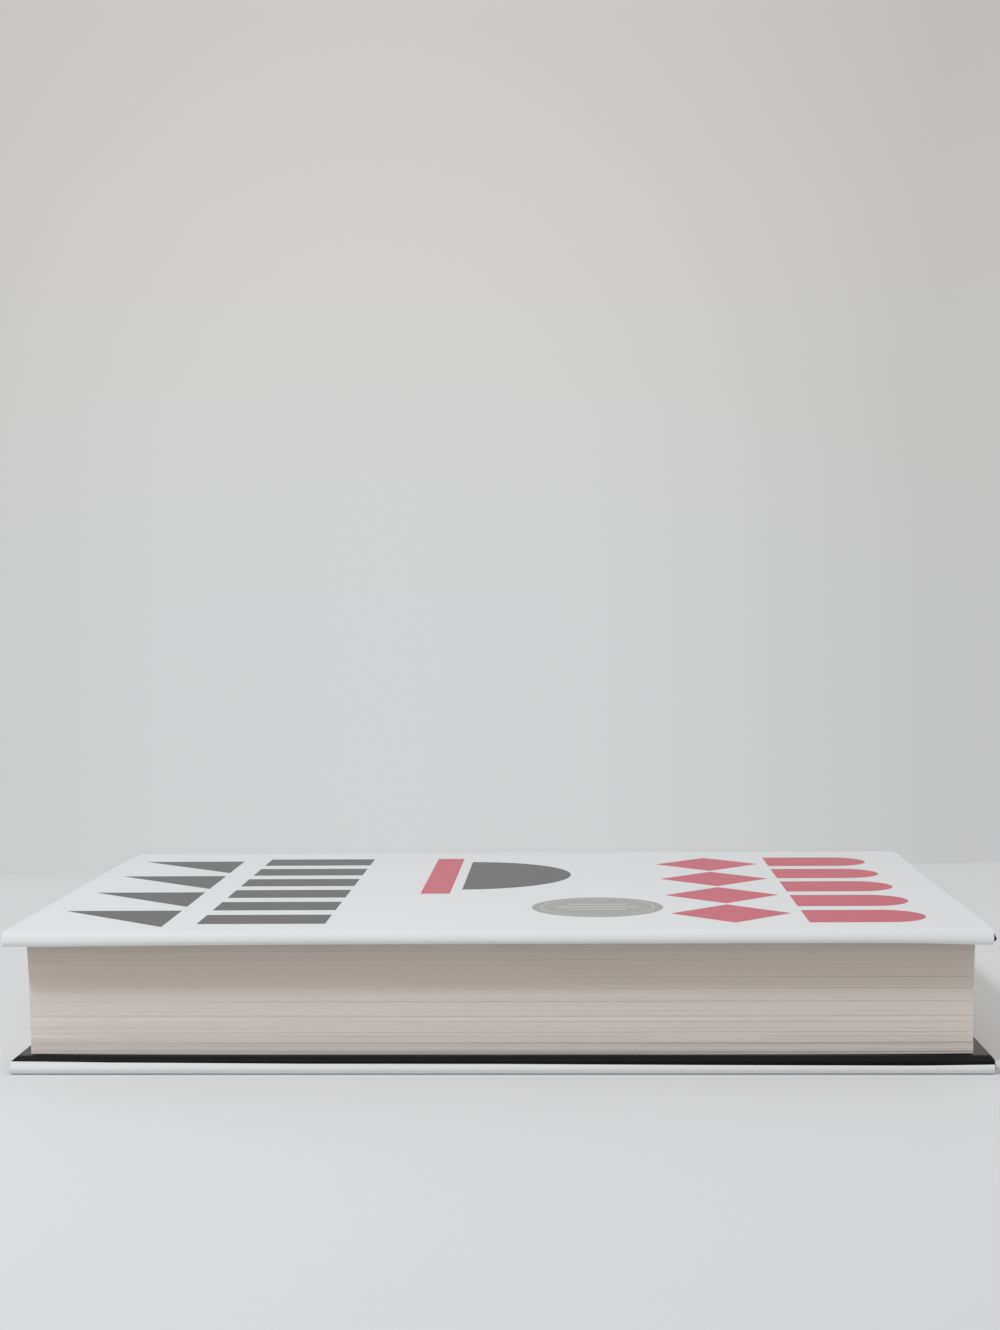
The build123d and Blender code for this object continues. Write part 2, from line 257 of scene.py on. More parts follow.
# Flyleaves: the free halves of the endpapers, tipped on to the first and last leaves. The
# back one lies on the flap of the jacket with the block's weight on it. Side 1 is the front
# and side -1 the back. Sheets are made thinner by a little air, so that no two touch.
endpaper = 0.15
flyleaf_reach = 146
air = 0.01
leaf_edge = {1: fore_edge_top, -1: fore_edge_base}
leaf_face = {1: block_top, -1: block_base}


def run(corners, step):
    """A line of (depth, height) points through these corners, none further apart than step."""
    line = [corners[0]]
    for start, end in zip(corners, corners[1:]):
        count = max(1, math.ceil(math.dist(start, end) / step))
        line += [tuple(np.add(start, np.subtract(end, start) * k / count))
                 for k in range(1, count + 1)]
    return line


def spread_out(line, x_places):
    """The grid of points that a line makes when it is drawn out along the book."""
    grid = np.zeros((len(line), len(x_places), 3))
    grid[:, :, 0] = x_places
    grid[:, :, 1:] = np.array(line)[:, None, :]
    return grid


def sheet_of(grid, thickness):
    """Points, faces and sides (0 over, 1 under, 2 edge) of a sheet round its middle points."""
    facing = np.cross(np.gradient(grid, axis=0), np.gradient(grid, axis=1))
    facing /= np.linalg.norm(facing, axis=2, keepdims=True)
    over, under = grid + facing * thickness / 2, grid - facing * thickness / 2
    rows, columns = grid.shape[:2]
    index = np.arange(rows * columns).reshape(rows, columns)
    quads = np.stack([index[:-1, :-1], index[1:, :-1], index[1:, 1:], index[:-1, 1:]],
                     axis=-1).reshape(-1, 4)
    rim = np.concatenate([index[:, 0], index[-1, 1:], index[-2::-1, -1], index[0, -2::-1]])
    below = rows * columns
    edges = np.stack([rim[:-1], rim[:-1] + below, rim[1:] + below, rim[1:]], axis=-1)
    faces = np.concatenate([quads, quads[:, ::-1] + below, edges])
    sides = np.repeat([0, 1, 2], [len(quads), len(quads), len(edges)])
    points = np.concatenate([over.reshape(-1, 3), under.reshape(-1, 3)])
    return points, faces, sides


# Endpaper: uncoated white wove. The eye gets a matt, faintly cloudy sheet.
endpaper_wove, tree, shader, place = finish("white_wove_endpaper", "E6E3DC", 0.9, IOR=1.47)
# Formation clouds of paper are 3 to 6 mm across
clouds = node(tree, "ShaderNodeTexNoise", {"Vector": place, "Scale": 220, "Detail": 4.0})
tone = node(tree, "ShaderNodeValToRGB", {"Fac": clouds.outputs["Fac"]})
tone.color_ramp.elements[0].position = 0.3
tone.color_ramp.elements[0].color = linear("E4E1DA")
tone.color_ramp.elements[1].position = 0.7
tone.color_ramp.elements[1].color = linear("E8E5E0")
tree.links.new(tone.outputs["Color"], shader.inputs["Base Color"])
# Fibres 0.4 mm across, coarser than real ones, so that they show
fibre = node(tree, "ShaderNodeTexNoise", {"Vector": place, "Scale": 2500, "Detail": 3.0})
bump = node(tree, "ShaderNodeBump", {"Height": fibre.outputs["Fac"], "Strength": 0.2,
                                     "Distance": 0.00003})
tree.links.new(bump.outputs["Normal"], shader.inputs["Normal"])

for side, name in ((1, "front"), (-1, "back")):
    paper_z = leaf_face[side] + side * endpaper / 2
    fore_y = leaf_edge[side]
    grid = spread_out(run([(fore_y + flyleaf_reach, paper_z), (fore_y, paper_z)], 4),
                      np.linspace(-page_half, page_half, 49))
    if side == -1:
        grid[:, :, 2] += base_lift(grid[:, :, 0], grid[:, :, 1], 0)
    made = sheet_of(grid, endpaper - air)
    flyleaf = piece(f"{name}_flyleaf_sheet", made[0], made[1].tolist(), [endpaper_wove])
    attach(flyleaf, "book_block")
    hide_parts(f"{name}_flyleaf")

# Pastedowns: the other halves of the endpapers, pasted on the boards over the turn-ins,
# whose edges show through, and carried across the joint to the flyleaf's spine edge.
middle_height = 17.71
cover_lean = 1.5
cover_skew = 0.5
centre_shift = -72.6084
covering = 0.25
fore_square = 6.5
board_width = 148.35
board_half = 119.6
turn_in = 15.0
step_half = 0.6
pastedown_depth = 2.88
pastedown_inset = 4
joint_climb = 1.2


def level(side, depth):
    """Height of a layer this deep under a cover's outer face; side 1 is the front."""
    return middle_height + side * (middle_height - depth)


def cover_y(side, reach):
    """Depth position on a cover, which is slipped by its share of the covers' lean."""
    return centre_shift + reach - side * cover_lean / 2


def board_edges(side):
    """Depth positions of a board's fore-edge and of its edge at the joint."""
    fore = cover_y(side, covering - fore_square)
    return fore, fore + board_width


def smooth(t):
    """A soft start and a soft end for a share that goes from 0 to 1."""
    return t * t * (3 - 2 * t)


for side, name in ((1, "front"), (-1, "back")):
    board_fore, board_spine = board_edges(side)
    step_y = board_fore + turn_in
    leaf_spine = leaf_edge[side] + flyleaf_reach
    climb_y = leaf_spine - joint_climb
    flyleaf_z = leaf_face[side] + side * endpaper / 2
    sunk_z = level(side, pastedown_depth - covering + endpaper / 2)
    line = run([(board_fore + pastedown_inset, sunk_z), (step_y - step_half, sunk_z)], 2)
    line += run([(step_y - step_half, sunk_z), (step_y + step_half, sunk_z)], 0.2)[1:]
    line += run([line[-1], (board_spine - 0.5, sunk_z)], 5)[1:]
    line += run([line[-1], (climb_y, sunk_z)], 0.15)[1:]
    line += [(climb_y + joint_climb * t, sunk_z + (flyleaf_z - sunk_z) * smooth(t))
             for t in np.linspace(0, 1, 9)[1:]]
    # The paper stands on the turn-ins near its three outer edges
    window = -side * cover_skew + np.array([-1, 1]) * (board_half - turn_in)
    on_step = np.linspace(-0.4, 0.4, 5)
    x_places = np.concatenate([np.linspace(-page_half, window[0] - step_half, 7),
                               window[0] + on_step,
                               np.linspace(window[0] + step_half, window[1] - step_half, 30),
                               window[1] + on_step,
                               np.linspace(window[1] + step_half, page_half, 7)])
    grid = spread_out(line, x_places)
    from_turn_in = np.minimum(grid[:, :, 1] - board_fore - turn_in,
                              board_half - turn_in - np.abs(grid[:, :, 0] + side * cover_skew))
    raised = 1 - np.clip(from_turn_in / (2 * step_half) + 0.5, 0, 1)
    raised *= grid[:, :, 1] < board_spine
    grid[:, :, 2] -= side * covering * smooth(raised)
    made = sheet_of(grid, endpaper - 2 * air)
    pastedown = piece(f"{name}_pastedown_sheet", made[0], made[1].tolist(), [endpaper_wove])
    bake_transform(pastedown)
    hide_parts(f"{name}_pastedown")

# Mull: open cotton gauze, laid on the backed spine between the bands' tapes and brushed full
# of glue.


def coat(name, material):
    """Give a piece that the frame carries over its finish."""
    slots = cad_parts[name].data.materials
    slots.clear()
    slots.append(material)


# Gauze: woven cotton, sized stiff. The eye gets a dull cream net with brown glue in its holes.
gauze, tree, shader, place = finish("glued_cotton_gauze", "DAD6C8", 0.8, IOR=1.5)
# Threads 1.2 mm apart
net = [node(tree, "ShaderNodeTexWave", {"Vector": place, "Scale": 265.0, "Distortion": 0.4},
            bands_direction=way) for way in ("X", "Z")]
crossed = node(tree, "ShaderNodeMath", {0: net[0].outputs["Fac"], 1: net[1].outputs["Fac"]},
               operation="MAXIMUM")
tone = node(tree, "ShaderNodeValToRGB", {"Fac": crossed.outputs["Value"]})
tone.color_ramp.elements[0].color = linear("A99B7C")
tone.color_ramp.elements[1].color = linear("E4E0D4")
tree.links.new(tone.outputs["Color"], shader.inputs["Base Color"])
bump = node(tree, "ShaderNodeBump", {"Height": crossed.outputs["Value"], "Strength": 0.6,
                                     "Distance": 0.0001})
tree.links.new(bump.outputs["Normal"], shader.inputs["Normal"])
coat("spine_mull", gauze)

# Lining: a strip of brown kraft paper as wide as the back, glued over the mull and the
# bands' tapes.
# Kraft: unbleached machine-made paper. The eye gets a matt brown, finely streaked lengthwise.
kraft, tree, shader, place = finish("brown_kraft_paper", "B7946A", 0.85, IOR=1.47)
# Machine streaks run along the strip, 0.8 mm wide
ribbed = node(tree, "ShaderNodeMapping", {"Vector": place, "Scale": (60, 1200, 1200)})
streaks = node(tree, "ShaderNodeTexNoise", {"Vector": ribbed.outputs["Vector"], "Scale": 1.0,
                                            "Detail": 4.0})
tone = node(tree, "ShaderNodeValToRGB", {"Fac": streaks.outputs["Fac"]})
tone.color_ramp.elements[0].position = 0.3
tone.color_ramp.elements[0].color = linear("A98458")
tone.color_ramp.elements[1].position = 0.7
tone.color_ramp.elements[1].color = linear("C2A079")
tree.links.new(tone.outputs["Color"], shader.inputs["Base Color"])
coat("spine_paper_lining", kraft)

# Head and tail bands: cotton thread wrapped over a cord in two colours, made by the metre
# on a tape, cut to the back's width and glued to it with the bead on the leaves' ends.
bead_radius = 0.9
bead_sink = 0.5
band_inset = 1.2
lean_angle = 4.967
half_sweep = 14.10
thread_pitch = 0.55
wraps_a_colour = 3
rows_a_wrap = 4
around = 14
tape = 0.25
tape_lap = 12
tape_over_bead = 0.6


def arc(centre, radius, start, end, count):
    """Points of an arc in the upright plane across the book, with its angles in degrees."""
    angles = np.radians(np.linspace(start, end, count))
    return [(centre[0] + radius * math.cos(a), centre[1] + radius * math.sin(a)) for a in angles]


# Thread: spun cotton. The eye gets soft matt stripes, ribbed by the wraps and the plies.
threads = []
for label, colour, roughness in (("undyed_cotton_thread", "DDD8CB", 0.85),
                                 ("black_cotton_thread", "232021", 0.8)):
    thread, tree, shader, place = finish(label, colour, roughness, Sheen_Weight=0.3,
                                         Sheen_Roughness=0.4)
    threads.append(thread)
    # Twist of the plies, 0.3 mm
    twist = node(tree, "ShaderNodeTexWave", {"Vector": place, "Scale": 1000.0,
                                             "Distortion": 1.5}, bands_direction="DIAGONAL")
    bump = node(tree, "ShaderNodeBump", {"Height": twist.outputs["Fac"], "Strength": 0.4,
                                         "Distance": 0.00005})
    tree.links.new(bump.outputs["Normal"], shader.inputs["Normal"])

for end, name in ((1, "head_band"), (-1, "tail_band")):
    bead_line = back_radius - bead_sink
    sweep = half_sweep - math.degrees(band_inset / back_radius)
    wraps = round(math.radians(2 * sweep) * bead_line / thread_pitch)
    row_count = wraps * rows_a_wrap
    points, slots = [], []
    for row in range(row_count + 1):
        angle = math.radians(lean_angle - sweep + 2 * sweep * row / row_count)
        within = (row % rows_a_wrap) / rows_a_wrap
        radius = bead_radius * (0.9 + 0.1 * math.sin(math.pi * within))
        out = Vector((0, math.cos(angle), math.sin(angle)))
        centre = Vector((end * (page_half + bead_radius), back_centre[0], back_centre[1]))
        centre += out * bead_line
        for k in range(around):
            turn = 2 * math.pi * k / around
            points.append(centre + Vector((end * radius * math.sin(turn), 0, 0))
                          + out * radius * math.cos(turn))
    faces = []
    for row in range(row_count):
        for k in range(around):
            here, after = row * around + k, row * around + (k + 1) % around
            faces.append((here, after, after + around, here + around)[::end])
            slots.append(int(row // rows_a_wrap % (2 * wraps_a_colour) >= wraps_a_colour))
    faces.append(tuple(range(around))[::-end])
    faces.append(tuple(row_count * around + k for k in range(around))[::end])
    slots += [0, 0]
    # The tape on the back is as wide as the mull stands short of the block's end
    tape_line = arc(back_centre, back_radius + tape / 2, lean_angle - half_sweep,
                    lean_angle + half_sweep, 25)
    tape_x = np.array([page_half - tape_lap, page_half + tape_over_bead * bead_radius]) * end
    made = sheet_of(spread_out(tape_line, np.sort(tape_x)), tape - 2 * air)
    first = len(points)
    points = np.concatenate([np.array([list(p) for p in points]), made[0]])
    faces += (made[1] + first).tolist()
    slots += [0] * len(made[1])
    band = piece(f"{name}_bead", points, faces, threads, slots)
    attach(band, "book_block")
    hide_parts(name)

# Boards: two sheets of grey board, pressed from waste paper and die-cut. They lie inside the
# covering, which is glued round them.
# Grey board: pressed, uncoated. The eye gets a matt grey with flecks a millimetre across.
grey_board, tree, shader, place = finish("pressed_grey_board", "A8A59F", 0.9, IOR=1.47)
flecks = node(tree, "ShaderNodeTexNoise", {"Vector": place, "Scale": 900, "Detail": 5.0})
tone = node(tree, "ShaderNodeValToRGB", {"Fac": flecks.outputs["Fac"]})
tone.color_ramp.elements[0].position = 0.35
tone.color_ramp.elements[0].color = linear("8F8B84")
tone.color_ramp.elements[1].position = 0.65
tone.color_ramp.elements[1].color = linear("B5B2AC")
tree.links.new(tone.outputs["Color"], shader.inputs["Base Color"])
for name in ("front_board", "back_board"):
    coat(name, grey_board)

# Spine strip: thin manila card, glued inside the covering between the boards, where it keeps
# the case's spine round. It is hidden as well.
# Manila: smooth buff card. The eye gets a matt buff with flecks a millimetre across.
manila, tree, shader, place = finish("manila_card", "C4B595", 0.85, IOR=1.47)
flecks = node(tree, "ShaderNodeTexNoise", {"Vector": place, "Scale": 1100, "Detail": 4.0})
tone = node(tree, "ShaderNodeValToRGB", {"Fac": flecks.outputs["Fac"]})
tone.color_ramp.elements[0].color = linear("B5A583")
tone.color_ramp.elements[1].color = linear("CFC1A3")
tree.links.new(tone.outputs["Color"], shader.inputs["Base Color"])
coat("spine_strip", manila)

# Covering: black imitation cloth, a printed and embossed paper, glued round the boards and
# the spine strip and turned in over their edges. Each cover's part runs on through the
# joint to the shoulder, so that it bends there.
case_half = 119.85
covering_depth = 0.18
board_thickness = 2.2
cloth_edge = 0.625
groove_bend = 0.35
foot_reach = 147.2
climb_share = 0.86
crest_depth = 0.655
cloth_to_crest = 0.7
cloth_past_crest = 2.2
cloth_narrowing = 0.6
spine_cloth_radius = 67.998
strip_card = 0.8
strip_edge = 0.5
spine_overlap = 1.1
round_steps = 7
knock = 0.97
knock_drop = 0.6
knock_reach = 2.2
knock_inward = 3
cap_in, cap_out = 0.8, 0.1
# Imitation cloth: black ink on embossed paper. The eye gets a low sheen broken by a fine weave.
black_cloth, tree, shader, place = finish("embossed_black_book_cloth_paper", "1C1A1C", 0.55,
                                          IOR=1.5)
# Embossed threads 0.5 mm apart, both ways
ribs = [node(tree, "ShaderNodeTexWave", {"Vector": place, "Scale": 630.0, "Distortion": 0.6,
                                         "Detail": 1.0}, bands_direction=way)
        for way in ("X", "Y")]
weave = node(tree, "ShaderNodeMath", {0: ribs[0].outputs["Fac"], 1: ribs[1].outputs["Fac"]},
             operation="MULTIPLY")
tone = node(tree, "ShaderNodeValToRGB", {"Fac": weave.outputs["Value"]})
tone.color_ramp.elements[0].color = linear("171517")
tone.color_ramp.elements[1].color = linear("242124")
tree.links.new(tone.outputs["Color"], shader.inputs["Base Color"])
bump = node(tree, "ShaderNodeBump", {"Height": weave.outputs["Value"], "Strength": 0.35,
                                     "Distance": 0.00005})
tree.links.new(bump.outputs["Normal"], shader.inputs["Normal"])


def round_angle(radius, z):
    """Angle, in degrees, at which a layer of the rounded back has this height."""
    return math.degrees(math.asin((z - back_centre[1]) / radius))


def over_crest(last, radius, z, side, start, end, steps):
    """Points from a line's last one, round the edge of the back and on to its round layer."""
    angle = round_angle(radius, z)
    on_round = arc(back_centre, radius, angle - side * start, angle - side * end, 5)
    last, crest, first = np.array(last), np.array((round_y(radius, z), z)), np.array(on_round[0])
    return [tuple((1 - t) ** 2 * last + 2 * t * (1 - t) * crest + t * t * first)
            for t in np.linspace(0, 1, steps)[1:-1]] + on_round


def joined(parts):
    """One list of points and one of faces from several sheets."""
    points, faces, first = [], [], 0
    for part in parts:
        points.append(part[0])
        faces.append(part[1] + first)
        first += len(part[0])
    return np.concatenate(points), np.concatenate(faces)


def turned_end(line, normals, eases, end_x, way, depth, radius, turned):
    """Middle points of cloth turned over an end: along a line, over the end and back.

    The cloth is thinner by twice the ease where another edge is rounded as well.
    """
    quarter = np.linspace(0, math.pi / 2, round_steps)
    profile = [(-radius - 0.1, 0.0)]
    profile += [(-radius + radius * math.sin(a), radius - radius * math.cos(a))
                for a in quarter]
    profile += [(-radius + radius * math.cos(a), depth - radius + radius * math.sin(a))
                for a in quarter]
    profile += [(-turned / 2, depth), (-turned, depth)]
    grid = np.zeros((len(line), len(profile), 3))
    for row, (spot, out, ease) in enumerate(zip(line, normals, eases)):
        for column, (reach, down) in enumerate(profile):
            down = min(max(down, ease), depth - ease)
            grid[row, column] = (end_x + way * reach, spot[0] - out[0] * down,
                                 spot[1] - out[1] * down)
    return grid


outer_mid = covering_depth + covering / 2
inner_mid = outer_mid + board_thickness + covering
for side, name in ((1, "front"), (-1, "back")):
    board_fore, board_spine = board_edges(side)
    fore_face = board_fore - covering / 2
    outer_z, inner_z = level(side, outer_mid), level(side, inner_mid)
    groove_z = level(side, inner_mid - covering)
    groove_y = board_spine + covering / 2
    foot_y = leaf_edge[side] + foot_reach
    crest_z = level(side, crest_depth)
    climb = (round_y(spine_cloth_radius, crest_z) - foot_y, crest_z - groove_z)
    # From the turned-in edge round the fore-edge, over the board and down into the groove
    line = run([(board_fore + turn_in, inner_z), (fore_face + cloth_edge, inner_z)], 5)
    line += arc((fore_face + cloth_edge, inner_z + side * cloth_edge), cloth_edge,
                side * 270, side * 180, round_steps)[1:]
    line += arc((fore_face + cloth_edge, outer_z - side * cloth_edge), cloth_edge,
                side * 180, side * 90, round_steps)
    line += run([line[-1], (board_spine - groove_bend, outer_z)], 6)[1:]
    line += arc((groove_y - groove_bend, outer_z - side * groove_bend), groove_bend,
                side * 90, 0, round_steps)[1:]
    line += arc((groove_y + groove_bend, groove_z + side * groove_bend), groove_bend,
                180, 180 + side * 90, round_steps)
    # Along the groove, up the shoulder and round its crest
    line += run([line[-1], (foot_y, groove_z)], 0.2)[1:]
    line += run([line[-1], (foot_y + climb_share * climb[0], groove_z + climb_share * climb[1])],
                0.4)[1:]
    crest = over_crest(line[-1], spine_cloth_radius, crest_z, side, cloth_to_crest,
                       cloth_past_crest, 8)
    line = np.array(line + crest)
    over_board = np.clip((board_spine + 0.3 - line[:, 0]) / 0.6, 0, 1)
    half = case_half + (board_half - cloth_edge - case_half) * over_board
    # It narrows at the crest, where the spine's own turned ends begin
    half[-len(crest):] -= np.linspace(0, 2, len(crest)).clip(0, 1) * cloth_narrowing
    grid = spread_out(line, np.linspace(-1, 1, 33))
    slip = -side * cover_skew * np.clip((foot_y - line[:, 0]) / (foot_y - board_spine), 0, 1)
    grid[:, :, 0] = slip[:, None] + half[:, None] * grid[:, :, 0]
    if side == 1:
        grid = grid[::-1]
    parts = [sheet_of(grid, covering - 2 * air)]
    corner_turns = np.linspace(0, math.pi / 2, round_steps)
    edge_line = [(fore_face + cloth_edge * (1 - math.cos(a)), outer_z) for a in corner_turns]
    edge_line += run([edge_line[-1], (groove_y, outer_z)], 5)[1:]
    eases = np.zeros(len(edge_line))
    eases[:round_steps] = cloth_edge * (1 - np.sin(corner_turns))
    for way in (-1, 1):
        end_x = -side * cover_skew + way * (board_half + covering / 2)
        grid = turned_end(edge_line, [(0, side)] * len(edge_line), eases, end_x, way,
                          inner_mid - outer_mid, cloth_edge, turn_in)
        corner = run([(fore_face, outer_z - side * cloth_edge),
                      (fore_face, inner_z + side * cloth_edge)], 0.15)
        cap = spread_out(corner, [end_x - way * cap_in, end_x + way * cap_out])
        if (side, way) == (1, 1):
            # The head corner of the front cover has been knocked, and bulges out and down
            for bulging, columns in ((grid, slice(None)), (cap, slice(1, 2))):
                down = (outer_z - bulging[:, columns, 2]) / (outer_z - inner_z)
                past = (bulging[:, columns, 1] - fore_face) / knock_reach
                near_end = np.clip(1 - (end_x - bulging[:, columns, 0]) / knock_inward, 0, 1)
                near_corner = near_end * np.exp(-past * past)
                full = np.sin(math.pi * down.clip(0, 1) ** 2) ** 0.7
                bulging[:, columns, 0] += knock * full * near_corner
                bulging[:, columns, 2] -= knock_drop * down.clip(0, 1) * near_corner
        if side * way == 1:
            grid = grid[::-1]
        parts.append(sheet_of(grid, covering - 2 * air))
        parts.append(sheet_of(cap, covering - 2 * air))
    points, faces = joined(parts)
    cloth = piece(f"{name}_cover_cloth", points, faces.tolist(), [black_cloth])
    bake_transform(cloth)
    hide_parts(f"{name}_covering")

# The spine's part lies over the strip between the two crests, and its ends are turned in
lowest, highest = [round_angle(spine_cloth_radius, level(side, crest_depth))
                   - side * cloth_past_crest for side in (-1, 1)]
line = arc(back_centre, spine_cloth_radius, lowest, highest, 41)
parts = [sheet_of(spread_out(line[::-1], np.linspace(-1, 1, 9) * (case_half - cloth_narrowing)),
                  covering - 2 * air)]
line = arc(back_centre, spine_cloth_radius, lowest - spine_overlap, highest + spine_overlap, 45)
normals = [((y - back_centre[0]) / spine_cloth_radius, (z - back_centre[1]) / spine_cloth_radius)
           for y, z in line]
for way in (-1, 1):
    grid = turned_end(line, normals, [0] * len(line), way * (case_half - covering / 2), way,
                      strip_card + covering, strip_edge, turn_in)
    if way == -1:
        grid = grid[::-1]
    parts.append(sheet_of(grid, covering - 2 * air))
points, faces = joined(parts)
spine_cloth = piece("spine_cloth", points, faces.tolist(), [black_cloth])
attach(spine_cloth, "book_block")
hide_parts("spine_covering")

# Jacket: one sheet of coated art paper, printed on one side and laminated with satin film,
# folded round the case. The flaps are printed black, and at each fold the edge of the black
# runs a little askew. The reverse is bare paper.
jacket = 0.18
jacket_half = 119.85
fold_reach = 8.205
fold_radius = 1.515
fold_press = 0.45
flap_width = 86.0
flap_depth = 3.03
joint_dip = 0.25
crest_room = 1.1
jacket_to_crest = 1.0
jacket_past_crest = 2.6
jacket_spine_radius = 68.213
hinge_lines = {1: 71.692, -1: 74.492}
skew_fade = 30
fold_rows = 36
row_at_45 = 9
fold_droop = 0.12
tail_droop, tail_reach = 0.43, 45
head_droop, head_reach = 0.48, 14
droop_inward = 5
end_rounding = 0.5
rounding_inward = 4.5
rounding_along = 6
# Film: satin polypropylene laminated over the print. The eye gets a clean white with a wide
# soft sheen, and a black that is matt at the fold and glossy further in. The black's IOR is
# under polypropylene's 1.49, since its film gives back less. Bare paper gives a dull off-white.
jacket_surfaces = []
for label, colour, roughness, ior in (("satin_laminated_white", "EBEDEE", 0.68, 1.45),
                                      ("satin_laminated_black", "0B0809", 0.75, 1.3),
                                      ("uncoated_jacket_reverse", "E4E2DD", 0.8, 1.47)):
    surface, tree, shader, place = finish(label, colour, roughness, IOR=ior)
    jacket_surfaces.append(surface)
    # Unevenness of the board under the film, 25 mm, and the film's own grain, 0.4 mm, which is
    # coarser than the real one so that it shows
    broad = node(tree, "ShaderNodeTexNoise", {"Vector": place, "Scale": 40, "Detail": 1.0})
    grain = node(tree, "ShaderNodeTexNoise", {"Vector": place, "Scale": 2500, "Detail": 2.0})
    broad_bump = node(tree, "ShaderNodeBump", {"Height": broad.outputs["Fac"],
                                               "Strength": 0.15, "Distance": 0.0003})
    grain_bump = node(tree, "ShaderNodeBump", {"Height": grain.outputs["Fac"],
                                               "Normal": broad_bump.outputs["Normal"],
                                               "Strength": 0.12, "Distance": 0.00002})
    tree.links.new(grain_bump.outputs["Normal"], shader.inputs["Normal"])
    if label == "satin_laminated_black":
        # Hands have rubbed the black film matt along its fold; further in it keeps its gloss
        depth = node(tree, "ShaderNodeSeparateXYZ", {"Vector": place})
        rubbed = node(tree, "ShaderNodeMapRange", {"Value": depth.outputs["Y"],
                                                   "From Min": -0.074, "From Max": -0.0712,
                                                   "To Min": 0.9, "To Max": 0.3})
        tree.links.new(rubbed.outputs["Result"], shader.inputs["Roughness"])
    if label == "satin_laminated_white":
        # Painted shade: the white film is greyed a little where it faces forward, on the folds'
        # fronts, to tone down their highlight
        facing = node(tree, "ShaderNodeTexCoord")
        turned = node(tree, "ShaderNodeSeparateXYZ", {"Vector": facing.outputs["Normal"]})
        faces_forward = node(tree, "ShaderNodeMapRange", {"Value": turned.outputs["Y"],
                                                    "From Min": -0.1, "From Max": -0.6})
        painted_fold_shade = node(tree, "ShaderNodeMix", {0: faces_forward.outputs["Result"], 6: linear(colour),
                                              7: linear("E4E6E7")}, data_type="RGBA")
        tree.links.new(painted_fold_shade.outputs[2], shader.inputs["Base Color"])

